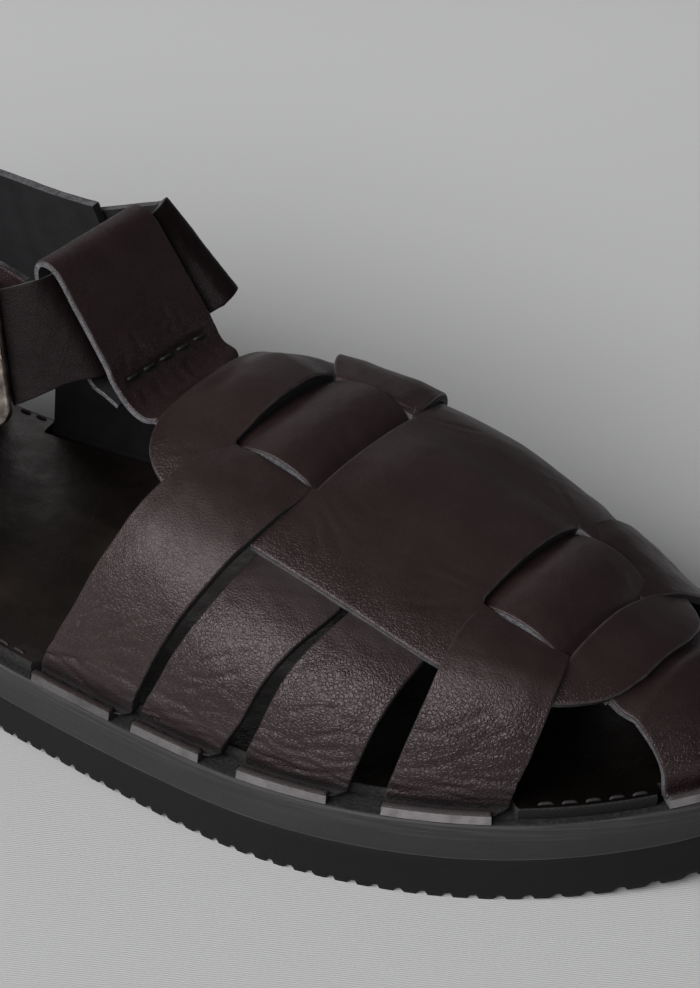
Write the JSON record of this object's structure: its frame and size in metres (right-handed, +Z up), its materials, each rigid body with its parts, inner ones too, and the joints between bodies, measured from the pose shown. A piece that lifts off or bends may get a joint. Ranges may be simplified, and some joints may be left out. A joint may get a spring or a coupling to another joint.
{
  "type": "woven leather sandal",
  "caption": "Right closed-toe sandal: woven leather straps over the foot, buckled ankle strap through a loop, closed heel and a ribbed flat rubber sole",
  "frame": {"origin": "middle of the sandal's bounding box on the ground", "axes": "+X to the toe, +Y to the inner side of the right foot, +Z up"},
  "size_m": [0.2806, 0.1056, 0.0902],
  "materials": {
    "outsole_rubber": "matt moulded rubber with cross ribs",
    "midsole_rubber": "matt buffed foam rubber",
    "footbed_leather": "smooth, slightly polished by wear",
    "upper_leather": "grained black-brown, matt on top and satin at the sides",
    "buckle_metal": "dark gunmetal, satin"
  },
  "bodies": {
    "root": {"outsole": "outsole_rubber", "midsole": "midsole_rubber", "footbed": "footbed_leather", "upper": "upper_leather", "heel_quarter": "upper_leather", "ankle_strap": "upper_leather", "buckle_frame": "buckle_metal", "buckle_prong": "buckle_metal", "buckle_chape": "upper_leather", "strap_keeper": "upper_leather"}
  },
  "joints": []
}
